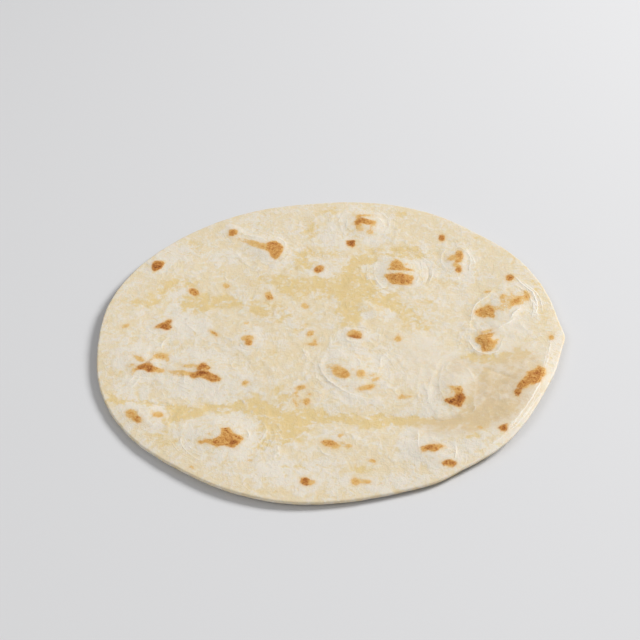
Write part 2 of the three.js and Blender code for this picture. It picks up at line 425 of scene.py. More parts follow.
skin = LUMP_HEIGHT * skin_lumps + GRIT_HEIGHT * skin_grit
relief = swells - valley + skin + puckers + folds
top_thickness = np.maximum(body + relief * inward, LEAST_THICKNESS) + domes
under_relief = UNDER_LUMP_HEIGHT * np.abs(skin_lumps) + GRIT_HEIGHT * np.abs(skin_grit)
under_relief[share > UNDER_RIM_SHARE] = 0.0
low_side = underside + (1.0 - level) * under_relief * inward
height = low_side + level * (underside + top_thickness - low_side)

# The middle of the round's reach stays where the solid has it.
points = np.stack([x, y, height], axis=1)
box_low, box_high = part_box("tortilla")
box_middle = (np.array(box_low) + np.array(box_high)) / 2 / MM
own_middle = (points.min(axis=0) + points.max(axis=0)) / 2
points[:, :2] += (box_middle - own_middle)[:2]
write_points(tortilla, points)

# Toasted places of the top: x, y, half length, half width, turn, and how deeply they browned
TOAST = [
    (-41.8, 76, 1.4, 0.6, 60, 0.9), (-75.5, 53.2, 2.0, 1.2, 80, 1.0),
    (-21.5, 65.4, 2.2, 1.0, 150, 0.92),
    (-26.5, 64, 3.6, 2.2, 145, 0.45), (-31, 66.6, 3.8, 1.9, 150, 0.42),
    (-35.5, 69.4, 4.0, 1.2, 155, 0.25),
    (-57.3, 32.5, 3.2, 2.0, 125, 0.75),
    (-43.3, 35.8, 2.0, 1.4, 110, 0.5),
    (-33.7, 37.5, 2.8, 2.2, 120, 0.15),
    (-24.6, 28, 1.4, 1.3, 90, 0.4), (-24, 25.6, 2.1, 1.4, 110, 0.7), (-25.7, 23.3, 0.7, 0.5, 0, 0.4),
    (-70, 10.7, 3.0, 1.4, 25, 0.8), (-67.5, 12, 2.3, 1.3, 80, 0.8), (-68.2, 8.9, 2.4, 1.9, 150, 0.95),
    (-85.6, 11.3, 1.7, 1.2, 30, 0.36),
    (-47.8, 3, 2.0, 0.8, 130, 0.65),
    (-33.8, 8.8, 0.9, 0.8, 0, 0.3), (-29.8, 7, 1.2, 0.8, 0, 0.2), (-34.5, 4, 1.7, 1.0, 90, 0.15),
    (-33.3, -1.5, 2.4, 1.8, 0, 0.4), (-33, -4.3, 2.4, 1.6, 95, 0.78),
    (18.6, 80.4, 2.2, 1.0, 60, 0.92), (17.2, 78, 1.6, 0.8, 90, 0.8),
    (20.5, 84.6, 3.0, 0.7, 175, 0.5), (18.2, 83.6, 1.4, 1.0, 80, 0.55),
    (18.3, 74.8, 3.0, 1.6, 100, 0.3), (22.8, 70.8, 2.2, 1.4, 80, 0.3), (24.5, 74, 2.6, 1.2, 80, 0.2),
    (14.4, 62.4, 2.0, 0.8, 95, 1.0),
    (55.5, 63.2, 2.6, 1.5, 80, 0.85),
    (-1.8, 44.2, 2.8, 2.0, 65, 0.82),
    (33.2, 43, 2.0, 1.4, 10, 0.74), (37.4, 43.9, 0.7, 0.6, 0, 0.45), (31.5, 35, 3.2, 0.7, 110, 0.85),
    (34.8, 33.6, 3.6, 0.8, 100, 0.88), (37.2, 31.6, 2.4, 0.9, 120, 0.85),
    (32.6, 30.9, 1.8, 0.6, 170, 0.82),
    (61.8, 49.5, 3.2, 1.5, 80, 0.7), (59, 47.2, 3.0, 1.9, 30, 0.5), (61.2, 45.3, 2.6, 1.3, 60, 0.62),
    (59.7, 41, 1.7, 1.1, 150, 0.6), (60.3, 38, 2.2, 1.5, 80, 0.8),
    (-8.7, 18.2, 1.9, 1.5, 120, 0.38), (-4.6, 14, 1.0, 0.6, 0, 0.12), (2, 15.5, 1.3, 0.4, 70, 0.2),
    (20.6, 14.2, 0.9, 0.6, 0, 0.18), (21.9, 12.4, 0.9, 0.5, 0, 0.2),
    (-6.8, -0.5, 1.8, 1.2, 70, 0.55), (-6.5, -7.8, 1.9, 0.8, 170, 0.65), (-5, -6.2, 1.5, 0.6, 90, 0.5),
    (11.5, -2.5, 2.8, 2.2, 0, 0.5), (12.4, -4, 2.3, 1.8, 160, 0.8), (12, -4.7, 1.5, 0.5, 170, 1.0),
    (29.5, -7.6, 1.5, 1.3, 20, 0.5), (29.8, -6.3, 1.1, 0.5, 90, 0.4),
    (-76.2, -15.6, 1.6, 0.8, 160, 0.98), (-73.4, -16.8, 2.2, 0.9, 100, 1.0),
    (-78.1, -10.8, 2.2, 0.9, 135, 0.42), (-81.8, -8.6, 1.3, 0.8, 140, 0.18),
    (-85.5, -7.5, 0.9, 0.7, 0, 0.14), (-81.5, -15, 1.3, 0.8, 0, 0.22),
    (-69.3, -10, 3.2, 2.0, 160, 0.45),
    (-66.3, -12.4, 1.8, 0.7, 90, 0.3), (-73, -12, 1.3, 0.4, 40, 0.25),
    (-79.8, -18.6, 1.8, 0.7, 80, 0.25),
    (-62, -21.5, 3.4, 1.3, 160, 0.3), (-58.5, -21.6, 3.0, 1.0, 160, 0.42),
    (-57, -17.4, 3.0, 1.0, 175, 0.35),
    (-51.6, -17.8, 1.8, 0.9, 60, 0.95), (-52, -22.2, 1.9, 1.2, 150, 1.0),
    (-49, -23.6, 2.2, 1.0, 130, 0.88),
    (-34.1, -29.7, 1.4, 1.3, 90, 0.48),
    (-78.6, -44.3, 2.7, 2.2, 130, 0.55), (-76.5, -47.2, 2.9, 1.6, 130, 0.75),
    (-68.3, -45.3, 2.1, 1.5, 150, 0.5),
    (-38.2, -63.6, 1.9, 1.1, 50, 1.0), (-39.4, -60.6, 2.4, 0.5, 105, 0.9),
    (-40.6, -64.2, 2.0, 0.6, 145, 0.9),
    (-44.2, -63.6, 1.8, 1.1, 5, 0.8), (-47.5, -58, 0.6, 0.5, 0, 0.3),
    (-53.5, -75.7, 0.9, 0.8, 0, 0.35), (-31.8, -73.9, 1.2, 0.8, 0, 0.25),
    (-12.8, -59.5, 1.0, 0.5, 90, 0.2),
    (-33.3, -84, 2.6, 1.2, 155, 0.1),
    (-11.7, -34.6, 1.9, 1.1, 10, 0.6), (-13.8, -37.8, 1.1, 0.5, 60, 0.4),
    (-8.3, -38.5, 0.7, 0.6, 0, 0.5),
    (-9.5, -42.8, 1.9, 1.3, 90, 0.6), (-14, -43, 1.9, 0.6, 110, 0.5), (-12, -42.3, 0.6, 0.4, 90, 0.4),
    (-7, -35.5, 0.5, 0.4, 0, 0.25), (-13.2, -39.6, 0.5, 0.4, 0, 0.4),
    (4.6, -26.6, 3.9, 2.8, 130, 0.5), (6.4, -28.2, 2.0, 1.6, 0, 0.72),
    (1.4, -22.6, 2.8, 1.2, 10, 0.25),
    (12.8, -27.8, 2.1, 1.8, 90, 0.45), (10, -25.2, 0.7, 0.6, 0, 0.25), (17.6, -29, 0.5, 0.5, 0, 0.55),
    (18.5, -32, 2.1, 0.8, 35, 0.35), (15, -30.4, 3.0, 1.3, 160, 0.14),
    (15, -36.6, 3.0, 1.5, 10, 0.55), (17.2, -35.5, 1.1, 0.8, 0, 0.4), (12.6, -37, 1.3, 0.8, 0, 0.4),
    (7.5, -35, 2.1, 0.6, 170, 0.15), (21, -39.5, 0.9, 0.4, 0, 0.18),
    (28.3, -43.2, 1.7, 1.0, 0, 0.45), (30.8, -43.4, 1.3, 0.5, 0, 0.4),
    (28.5, -41.8, 1.1, 0.4, 90, 0.25),
    (51.2, -45, 2.2, 1.3, 75, 1.0), (46.7, -47.3, 1.7, 0.6, 150, 1.0), (49.4, -49, 1.1, 0.7, 120, 1.0),
    (50.3, -41.5, 1.4, 0.8, 90, 0.75), (47, -41, 2.0, 0.9, 100, 0.12),
    (-1.8, -67, 2.9, 1.8, 165, 0.7), (0.5, -69, 1.7, 1.2, 160, 0.4), (5.7, -69.3, 1.1, 0.8, 0, 0.4),
    (3.2, -67.6, 0.7, 0.6, 0, 0.3), (3, -63.2, 0.8, 0.6, 0, 0.3), (2.5, -70, 3.1, 1.0, 175, 0.12),
    (35.4, -71.8, 1.8, 0.8, 20, 0.95), (43, -72.9, 2.6, 0.4, 140, 0.15),
    (42, -80.2, 1.7, 0.9, 175, 0.9), (44.2, -81.4, 0.9, 0.6, 60, 0.95),
    (14.1, -77.8, 1.2, 0.8, 150, 0.5),
    (-11.3, -86, 2.2, 1.7, 100, 0.85), (-9.5, -87, 1.5, 1.1, 0, 0.45),
    (7.3, -87.8, 2.0, 1.5, 90, 0.55), (9.3, -88, 1.5, 0.9, 0, 0.35), (11.6, -88.3, 1.0, 0.8, 0, 0.55),
    (16.6, -89.2, 1.0, 0.5, 0, 0.18),
    (56.5, -62.2, 1.3, 0.9, 0, 0.3), (26.3, -66.4, 0.7, 0.6, 0, 0.1), (11.9, -63.2, 0.8, 0.4, 0, 0.15),
    (65, 7.6, 1.6, 0.6, 50, 0.85), (67.2, 6.8, 1.6, 0.6, 80, 0.75), (71, 8, 2.0, 0.5, 95, 0.78),
    (81.8, 13.2, 2.2, 1.3, 50, 0.75), (83.4, 15.2, 1.6, 0.8, 75, 0.75),
    (86.8, 16.2, 2.4, 0.7, 90, 0.72),
    (79.6, 12.6, 1.7, 0.8, 70, 0.55), (76.7, 17, 1.4, 0.7, 60, 0.55), (76.3, 13.8, 1.3, 0.5, 90, 0.4),
    (81, 17.8, 1.6, 0.5, 95, 0.3), (73.4, 8.8, 1.8, 0.8, 30, 0.35),
    (67.4, -8, 1.7, 0.6, 15, 0.88), (63.9, -13.6, 4.0, 0.6, 88, 0.85),
    (66.2, -12.6, 3.4, 0.5, 72, 0.85),
    (65, -17.8, 1.6, 0.5, 175, 0.85), (66.8, -5.8, 1.8, 0.6, 20, 0.2),
    (69.9, -11.8, 1.0, 0.5, 20, 0.4),
    (92.5, -11.8, 1.4, 1.0, 90, 0.65),
    (70.8, 21, 1.2, 0.7, 25, 0.4),
    (81.8, 30, 2.4, 1.7, 80, 0.84),
    (84, -32.4, 2.6, 0.6, 82, 0.95), (81.6, -35.6, 2.2, 0.5, 20, 0.9), (77, -38.4, 2.4, 0.5, 70, 0.85),
    (65.2, -63.6, 1.6, 0.8, 70, 1.0), (73.2, -44, 1.4, 0.6, 80, 0.95),
]

# Toasted places with an angular edge: their corners, and how deeply they browned
TOAST_FLAKES = [
    ([(47.2, -38.3), (51.8, -38.8), (52.3, -40.6), (51.5, -43.4), (49.2, -43.8), (48.8, -41)], 0.6),
    ([(44.3, -46.7), (45.6, -45.3), (48.4, -44.6), (49.6, -42.8), (51.8, -42.6), (53.2, -45),
      (50.3, -50.1), (49, -50.3), (46.5, -48.4)], 0.9),
    ([(84.1, -29.3), (82.7, -30.5), (80.7, -31.7), (78.6, -32.4), (78.2, -35.1), (77, -35.3),
      (73.9, -39.2), (73.3, -40.4), (75, -41.7), (77, -41.2), (78.2, -39.6), (80.2, -39.9),
      (82.5, -38.7), (83.6, -37.1), (84.5, -33)], 0.76),
    ([(83.8, -29.4), (85.7, -30.3), (86.4, -31.9), (85.6, -34.6), (83.6, -37.1), (83.2, -33)], 0.45),
    ([(72.7, -41.6), (75.2, -41.7), (74.5, -43.5), (73.2, -45.6), (72.3, -45.1), (72.4, -43.3)], 0.82),
    ([(32.9, 48.6), (34, 48), (35.8, 45.7), (35.8, 44.1), (36.5, 41.8), (39.2, 40.2), (40.6, 38.6),
      (38.1, 38.9), (35.8, 39.8), (33.5, 39.8), (31.3, 40.7), (28.3, 40.9), (29, 41.8), (30.6, 42.7),
      (30.4, 44.5), (31.2, 46.6)], 0.65),
    ([(27.2, 37.3), (29, 37.7), (34.9, 37.5), (38.1, 35.9), (39.9, 35.2), (39.7, 33), (38.8, 30.7),
      (37, 29), (33.5, 29.5), (30.4, 30.5), (29, 31.8), (28.3, 34.1), (27.2, 35.7)], 0.72),
    ([(62.3, -8.8), (64.8, -7.7), (67.1, -7.2), (69.1, -7.8), (68.7, -9), (67.8, -10), (68.2, -11.8),
      (70.3, -11.8), (70, -13.6), (68.7, -16.1), (66.6, -17.9), (64.8, -18.5), (63.5, -17.9),
      (63, -14.3), (61.4, -12), (61.6, -10.2)], 0.58),
    ([(63.8, 6.7), (64, 8.5), (65.6, 9.9), (67.9, 10.6), (69.5, 12), (71, 11), (71.5, 9), (71.3, 6.7),
      (71, 4), (70.6, 2.4), (69, 3.8), (67, 3.5), (65.1, 4), (63.8, 5.4)], 0.64),
    ([(75.1, 15.4), (75.6, 17), (77, 18.3), (79, 17.6), (80.8, 16.7), (83.3, 16.6), (86, 16.6),
      (86.3, 20.6), (87.6, 20), (88.8, 16.3), (87, 14.2), (85.4, 13.1), (84.2, 11.5), (81.5, 10.8),
      (79.2, 9.5), (77.9, 8.3), (76.5, 9), (75.6, 7.2), (72.9, 7.9), (71.8, 10.4), (74.4, 10.8),
      (76, 12.4)], 0.25),
    ([(62.8, -63.7), (63.7, -62.1), (67.1, -61), (66.2, -63.9), (65, -65.2)], 0.85),
    ([(32.2, -72.4), (33.8, -71), (36, -70.3), (39.7, -70.3), (40.8, -71.5), (39.2, -73.3),
      (37.4, -74.2), (35.1, -73), (33.3, -74.2)], 0.72),
    ([(39.3, -79.6), (40.6, -79), (43.3, -78.7), (45.1, -80.5), (44.7, -81.7), (43.1, -83.2),
      (41.5, -82.4), (40.1, -81.7)], 0.8),
    ([(-42.7, -55.4), (-40.2, -55.2), (-39.1, -56.8), (-37.7, -58.8), (-35, -60.4), (-34.5, -62),
      (-35.5, -64.5), (-37.7, -66.5), (-39.5, -65.6), (-41.4, -64.7), (-42.7, -65.2), (-44.5, -65.6),
      (-46.8, -64.3), (-48.6, -62.7), (-50.9, -63.4), (-52, -62.4), (-50.9, -61.6), (-49.7, -61.8),
      (-49.1, -60.2), (-48.4, -61.2), (-46.4, -61.3), (-44.5, -60.4), (-43.2, -59.3), (-42.7, -57.5)],
     0.68),
    ([(-52.1, -15.8), (-50.1, -16.7), (-48.3, -19.3), (-49.5, -20.4), (-52, -20), (-54, -20.3),
      (-53.9, -18.5), (-53, -17)], 0.78),
    ([(-51.9, -20.4), (-49.2, -21), (-47.8, -22.9), (-45.5, -24.2), (-43.7, -26.3), (-44.6, -27.9),
      (-47.8, -27.9), (-50.1, -26.3), (-52.4, -24.9), (-55.5, -25.4), (-56.7, -23.8), (-56.9, -22.2),
      (-54.2, -21.5)], 0.76),
    ([(-78.8, -15.8), (-75, -14.2), (-73.1, -14.4), (-72.7, -15.8), (-70.6, -17.4), (-71.4, -19.4),
      (-74, -19.6), (-75.4, -18.3), (-77.2, -17.6), (-78.8, -17.8)], 0.85),
    ([(-72, -16.4), (-70.6, -17.4), (-67.7, -18.3),
      (-67.2, -20.1), (-69.5, -20.5), (-72.2, -19.6)], 0.55),
    ([(-76.3, 57), (-72.5, 57), (-71.4, 55.5), (-71.8, 54.3), (-73, 51), (-75.3, 49.3), (-76.8, 50.5),
      (-77.2, 53)], 0.85),
    ([(-24.8, 66.3), (-22.3, 67.8), (-20.8, 67.8), (-19.3, 65.8), (-17.4, 62.8), (-17.8, 60),
      (-19, 55.5), (-21.3, 53.3), (-22.8, 55.5), (-23.8, 59), (-25.8, 61.5)], 0.72),
    ([(-42.8, 78.8), (-40.3, 79), (-38.5, 77.3), (-38.8, 74.8), (-41, 73.4), (-42.8, 74.3)], 0.76),
    ([(16.5, 80), (17.8, 82), (20.3, 82.5), (23.8, 80.5), (26.3, 79), (26, 77.3), (23.8, 76.3),
      (21.3, 76.8), (19.3, 78), (17.3, 76.5), (16.3, 78)], 0.72),
    ([(11.8, 64.8), (15.3, 65.4), (15.7, 64), (15.4, 60.8),
      (14, 59.3), (12.5, 60.5), (11.8, 62.5)], 0.85),
]

# Pressed thin and yellow, in the same way, the last number being how strongly. At the front right the
# yellow is also painted shade, on the fold and the slope of the hump that turn from the key light.
PRESSED_AND_SHADED = [
    (-72, 33, 8, 4, 55, 0.6), (-64, 39, 7, 4, 0, 0.7), (-78, 26, 8, 2.5, 170, 0.6),
    (-57, 39, 4, 4, 90, 0.4), (-86, 28, 5, 2, 160, 0.3), (-57, 64, 5, 4, 120, 0.4),
    (-59, 70, 3, 3, 0, 0.35), (-49, 66, 3, 2, 90, 0.25), (-58, 54, 6, 2, 160, 0.3),
    (-55, 24, 9, 6, 170, 0.85), (-45, 25, 9, 5, 160, 0.8), (-35, 20, 8, 3.5, 155, 0.65),
    (-26, 17, 6, 4, 165, 0.65), (-45, 45, 6, 2, 150, 0.35), (-22, 38, 8, 4, 0, 0.65),
    (-15, 34, 7, 6, 0, 0.7), (-18, 12, 4, 5, 90, 0.45), (-12, 4, 4, 2.5, 130, 0.5),
    (-9, 55, 8, 4.5, 80, 0.75), (0, 56, 8, 3, 170, 0.55), (-11, 47, 7, 4, 0, 0.7),
    (-6, 31, 14, 8, 0, 0.85), (13, 33, 13, 9, 100, 0.95), (17, 50, 7, 5.5, 0, 0.85),
    (27, 55, 8, 3.5, 170, 0.65), (41, 53, 9, 6.5, 160, 0.8), (15, 26, 9, 6, 20, 1.0),
    (10, 12, 9, 6, 80, 1.0), (24, 21, 9, 4.5, 140, 0.9), (33, 13, 10, 6, 150, 0.7),
    (40, 3, 6, 4, 160, 0.6), (47, 8, 5, 2.5, 90, 0.5), (37, -2, 7, 1.8, 175, 0.5),
    (-6, 12, 5, 3, 0, 0.3), (49, 30, 4, 3, 90, 0.4), (57, 27, 7, 2, 170, 0.3),
    (-5, 76, 7, 5.5, 80, 0.7), (4, 88, 6, 4, 20, 0.65), (-27, 84, 6, 2.5, 80, 0.35),
    (40, 84, 5, 3, 0, 0.4), (41, 73, 6, 2.5, 150, 0.35), (57, 74, 4, 3, 60, 0.45),
    (-84, -35, 7, 3, 165, 0.65), (-73, -38, 8, 1.6, 168, 0.65), (-64, -41, 7, 1.5, 172, 0.6),
    (-60, -47, 7, 4.5, 20, 0.85), (-50, -43.5, 8, 2.5, 5, 0.65), (-36, -43, 9, 4, 0, 0.9),
    (-25, -48, 8, 4.5, 160, 0.95), (-18, -56, 10, 7.5, 135, 1.0), (-23, -65, 8, 4, 30, 0.65),
    (-8, -51.5, 8, 4.5, 170, 0.95), (3, -52.5, 8, 3, 168, 0.85), (15, -56.3, 11, 3.8, 178, 1.0),
    # Along the front runs the fold, whose right end is painted shade as well as pressed dough
    (29, -56.5, 9, 3.2, 178, 0.95), (40, -57, 8, 2, 175, 0.8), (55, -57.5, 9, 3, 8, 0.6),
    (67, -52, 7, 3.5, 35, 0.6), (-67, -58, 5, 3, 20, 0.5), (-63, -62, 5, 2.5, 20, 0.4),
    (-69, -63, 4, 2, 120, 0.4), (-12, -79, 9, 0.9, 178, 0.5), (8, -81.5, 9, 2, 5, 0.45),
    (-1, -84, 5, 1.5, 0, 0.35), (-37, -73, 7, 1.8, 0, 0.35), (18, -77, 1.5, 3, 0, 0.35),
    # The slope of the hump at the front right: pressed dough and painted shade
    (62, -23, 9, 3.5, 172, 0.85), (75, -22, 9, 4, 12, 0.8), (67, -34, 11, 7, 160, 0.5),
    (61, -55, 13, 5.5, 22, 0.9), (60, -46, 15, 8, 38, 0.5), (78, -30, 8, 7, 70, 0.35),
    (48, -60, 12, 4, 15, 0.6), (56, -63, 8, 3.5, 35, 0.3),
    (92, 3, 8, 2.5, 85, 0.45), (93, 24, 9, 2.2, 108, 0.5), (86, 42, 9, 3, 122, 0.4),
    (76, 58, 9, 2.5, 130, 0.25), (-84, 6, 8, 4, 80, 0.2), (-88, -20, 8, 3, 100, 0.25),
    (-13, -31, 5, 2.5, 0, 0.3), (-20, -37, 6, 2.5, 100, 0.4), (-30, -33, 8, 2, 0, 0.3),
    (-24, -15, 5, 7, 0, 0.3), (1, -93, 9, 2, 0, 0.3), (-28, -90, 9, 2, 165, 0.3),
    (-30, -40, 10, 3.5, 85, 0.55), (-18, -42, 8, 3, 80, 0.6), (-24, -58, 6, 5, 0, 0.6),
    (-62, -44, 7, 3, 20, 0.6), (52, -50, 6, 5, 0, 0.5),
    (7, -53, 5, 3, 0, 0.5), (28, -54, 5, 2.5, 0, 0.5),
    (38, 0, 6, 3.5, 160, 0.55), (-19, 15, 7, 5, 90, 0.6), (-11, 6, 6, 3, 60, 0.5),
    (-35, 22, 7, 3.5, 20, 0.5), (-25, 39, 8, 4, 10, 0.5),
    (-6, 52, 6, 5, 90, 0.6), (16, 45, 5, 5, 0, 0.5),
    (5, 24, 7, 5, 0, 0.5), (15, 17, 5, 6, 0, 0.6), (31, 10, 7, 4, 150, 0.4), (69, 61, 3, 2, 0, 0.5),
    (40, 83, 3, 3, 0, 0.4), (45, 17, 6, 4, 0, 0.35), (-66, 44, 3, 3, 0, 0.3),
]

# Damp places, where the dough is even and smooth. Where one is strongest the dough is also a shade
# darker, which is painted shade for the slopes and the fold of the front right that turn from the
# light
DAMP_AND_SHADE = [
    (67, -44, 22, 13, 42, 0.95), (76, -27, 12, 9, 70, 0.7), (52, -59, 20, 6, 14, 0.75),
    (60, -27, 11, 6, 0, 0.45), (36, -58, 12, 3, 0, 0.5), (88, -20, 6, 4, 60, 0.3),
    (42, -24, 22, 15, 100, 0.4), (76, -4, 10, 12, 0, 0.3), (56, 18, 8, 8, 0, 0.2),
]

# Dry and floury places, over the crowns of the blisters and between the yellow ones. Along the
# front right rim they are also a painted highlight, where the rim rolls over towards the key light.
FLOURY_AND_LIT = [
    (-67, 62, 10, 8, 0, 0.9), (-65, 33, 5, 4, 60, 1.0), (-64, 26, 6, 3.5, 80, 0.9),
    (-86, 40, 6, 4, 60, 0.5), (-44, 57, 9, 6, 0, 0.5), (-13, 74, 3.5, 3, 0, 0.8),
    (-29, 80, 4, 3.5, 0, 0.6), (-2, 44, 7, 7, 0, 0.7), (3, 37, 3, 5, 0, 0.6), (7, 50, 3, 2, 0, 0.9),
    (21, 13, 8, 5.5, 125, 0.6), (28, 7, 5, 3, 150, 0.4),
    (-69, -4, 8, 4, 0, 0.8), (4, 66, 9, 5, 0, 0.6),
    (23, 51, 3.5, 1.5, 160, 0.9), (47, 38, 3, 6, 0, 0.5), (54, 17, 6, 5, 0, 0.5),
    (43, 9, 3, 2, 0, 0.7), (-62, 10, 14, 9, 150, 0.95), (-52, -32, 16, 7, 165, 1.0),
    (-12, -54, 2.5, 2.5, 0, 0.7), (-42, -60, 15, 12, 165, 0.4), (-56, -50, 4, 3, 0, 0.4),
    (-24, -44, 7, 2.5, 140, 0.5), (30, -66, 9, 4, 70, 0.6), (55, -65, 9, 6, 30, 0.3),
    (66, -27, 3, 2, 40, 0.6), (81, 4, 8, 12, 0, 0.45),
    (75, -7, 8, 6, 0, 0.45), (45, -30, 14, 6, 70, 0.4),
    (66, 33, 8, 6, 0, 0.4), (12, -40, 16, 6, 160, 0.4), (28, -25, 12, 9, 90, 0.4),
    (-5, -66, 9, 6, 0, 0.4), (-12, -88, 9, 4, 0, 0.5), (10, -89, 9, 4, 0, 0.5),
    # Along the front right rim: flour, and a painted highlight where the rim rolls towards the light
    (93, -20, 11, 2.4, 76, 1.0), (87.5, -38, 12, 2.4, 65, 0.7), (77, -57, 12, 2.4, 50, 0.7),
    (62.5, -72.5, 12, 2.6, 38, 0.8), (44, -85, 10, 3, 25, 0.4),
    (-78, -28, 11, 8, 110, 0.8), (-84, -5, 9, 11, 0, 0.6), (-20, -80, 14, 7, 172, 0.9),
    (-5, -78, 8, 4, 0, 0.6), (32, -68, 12, 6, 60, 0.8), (52, -72, 9, 5, 35, 0.8),
    (20, -90, 14, 4, 12, 0.7), (42, -20, 6, 12, 0, 0.6), (40, -46, 6, 9, 0, 0.8),
    (-76, -52, 6, 5, 0, 0.6), (5, 70, 9, 12, 0, 0.6), (46, 45, 4, 14, 0, 0.8), (58, 35, 9, 6, 0, 0.7),
    (38, 22, 10, 4, 160, 0.5), (-30, 86, 7, 4, 0, 0.7),
    (70, -3, 10, 4, 20, 0.8), (10, -44, 12, 4, 165, 0.5),
]

# How softly toasted dabs run into each other, in millimetres, how far inside its edge a dab has
# its full say, and how much more say a stronger dab has
DAB_SOFT = 0.3
DAB_PLATEAU = 0.6
DAB_LEAD = 5.0

# Further outside a dab than this it has no say at all
LEAST_INSIDE = -14.0 * DAB_SOFT

# How far the edges of dabs, pressed patches and damp places wander, and over what size those of
# the dabs do. The pressed patches and damp places also carry painted shade. A patch fades out from
# one share of its reach to another.
DAB_WARP, PATCH_WARP, DAMP_AND_SHADE_WARP = 0.4, 2.5, 2.0
DAB_WARP_SIZE = 3.2
PATCH_CORE, PATCH_EDGE = 0.45, 1.45
HALO_FLOUR = 0.6  # how floury the halo over a blister is at least

# The underside's own spots, in clusters, and its own pressed, damp and floury places
UNDER_CLUSTERS = 46
UNDER_REACH = 0.9 * MEAN_RADIUS
UNDER_SPOT_SIZES = (1.0, 3.6)
SPOTS_IN_A_CLUSTER = (1, 1, 2, 3, 4)
UNDER_PRESSED_SIZE, UNDER_FLOURY_SIZE = 26.0, 18.0
UNDER_DAMP = 0.3


def oval_inside(px, py, oval):
    """How far inside an oval a place is, in millimetres, below zero outside it."""
    smaller_half = min(oval[2], oval[3])
    return np.maximum((1.0 - oval_reach(px, py, oval)) * smaller_half, LEAST_INSIDE)


def corners_inside(px, py, corners):
    """The same for a shape with straight sides between these corners."""
    ends = np.array(corners, dtype=float)
    near = near_corners(px, py, ends, -LEAST_INSIDE)
    places = np.stack([px[near], py[near]], axis=1)
    nearest = np.full(len(places), -LEAST_INSIDE)
    crossed = np.zeros(len(places), dtype=int)
    for start, end in zip(ends, np.roll(ends, -1, axis=0)):
        apart, _, side = beside_stretch(places, start, end)
        nearest = np.minimum(nearest, apart)
        spans = (start[1] > places[:, 1]) != (end[1] > places[:, 1])
        crossed += spans & ((side > 0.0) == (end[1] > start[1]))
    inside = np.full_like(px, LEAST_INSIDE)
    inside[near] = np.where(crossed % 2 == 1, nearest, -nearest)
    return inside


def dabs_field(px, py, ovals, flakes=()):
    """For dabs that run together: how far inside their edge a place is, in millimetres, and
    how strong the dabs are there. A strong dab shows through a weak one that it lies in."""
    dabs = [(oval_inside(px, py, oval), oval[5]) for oval in ovals]
    dabs += [(corners_inside(px, py, corners), strength) for corners, strength in flakes]
    total = np.zeros_like(px)
    strength_sum = np.zeros_like(px)
    shares = np.zeros_like(px)
    for inside, strength in dabs:
        total += np.exp(inside / DAB_SOFT)
        share_here = np.exp(np.minimum(inside, DAB_PLATEAU) / DAB_SOFT + DAB_LEAD * strength)
        shares += share_here
        strength_sum += share_here * strength
    return DAB_SOFT * np.log(total), strength_sum / shares


def patches(px, py, ovals):
    """Soft patches that add up to at most 1."""
    left = np.ones_like(px)
    for oval in ovals:
        outside = smooth_step(oval_reach(px, py, oval), PATCH_CORE, PATCH_EDGE)
        left *= 1.0 - oval[5] * (1.0 - outside)
    return 1.0 - left


def underside_dabs(count, draw):
    """Browned spots of the hidden face, in clusters at random."""
    found = []
    for _ in range(count):
        far = UNDER_REACH * math.sqrt(draw.random())
        turn = draw.uniform(0, 2 * math.pi)
        size = draw.uniform(*UNDER_SPOT_SIZES)
        for _ in range(draw.choice(SPOTS_IN_A_CLUSTER)):
            spot_x = far * math.cos(turn) + draw.gauss(0, size)
            spot_y = far * math.sin(turn) + draw.gauss(0, size)
            half_length = size * draw.uniform(0.6, 1.3)
            half_width = size * draw.uniform(0.35, 0.8)
            angle = draw.uniform(0, 180)
            found.append((spot_x, spot_y, half_length, half_width, angle, draw.uniform(0.2, 1.0)))
    return found


def paint(name, top_values, under_values):
    """Tells every point of the dough a value, from one set on its top and another below."""
    attribute = tortilla.data.attributes.new(name, "FLOAT", "POINT")
    attribute.data.foreach_set("value", np.where(on_top, top_values, under_values))


warp_x = x + DAB_WARP * grain(x, y, DAB_WARP_SIZE, 5.0)
warp_y = DAB_WARP * grain(x, y, DAB_WARP_SIZE, 6.0)
under_dabs = underside_dabs(UNDER_CLUSTERS, draw)
top_inside, top_depth = dabs_field(warp_x, seen_y + warp_y, TOAST, TOAST_FLAKES)
under_inside, under_depth = dabs_field(warp_x, y + warp_y, under_dabs)
paint("toast_inside", top_inside, under_inside)
paint("toast_depth", top_depth, under_depth)
patch_x = x + PATCH_WARP * (skin_lumps + skin_sway)
pressed_and_shaded = patches(patch_x, seen_y + PATCH_WARP * skin_lumps, PRESSED_AND_SHADED)
under_pressed = smooth_step(grain(x, y, UNDER_PRESSED_SIZE, 7.0, 3), 0.05, 0.6)
paint("pressed_and_shaded", pressed_and_shaded, under_pressed)
floury_and_lit = np.maximum(patches(x + skin_lumps, seen_y - skin_lumps, FLOURY_AND_LIT), HALO_FLOUR * halo)
under_floury = smooth_step(grain(x, y, UNDER_FLOURY_SIZE, 8.0, 3), 0.1, 0.7)
paint("floury_and_lit", floury_and_lit, under_floury)
paint("damp_and_shade", patches(x + DAMP_AND_SHADE_WARP * skin_lumps, seen_y, DAMP_AND_SHADE), UNDER_DAMP * under_pressed)
paint("around", around, FAR_FROM_BLISTERS)
for letter, beside, rise in zip("ab", crest_beside, crest_rise):
    paint("crest_beside_" + letter, beside, CREST_REACH)
    paint("crest_rise_" + letter, rise, 0.0)


def add_node(tree, kind, inputs=None, **settings):
    """A shader node with its settings, its input sockets set to values or linked."""
    made = tree.nodes.new(kind)
    for name, value in settings.items():
        setattr(made, name, value)
    for socket, value in (inputs or {}).items():
        if isinstance(value, bpy.types.NodeSocket):
            tree.links.new(value, made.inputs[socket])
        else:
            made.inputs[socket].default_value = value
    return made


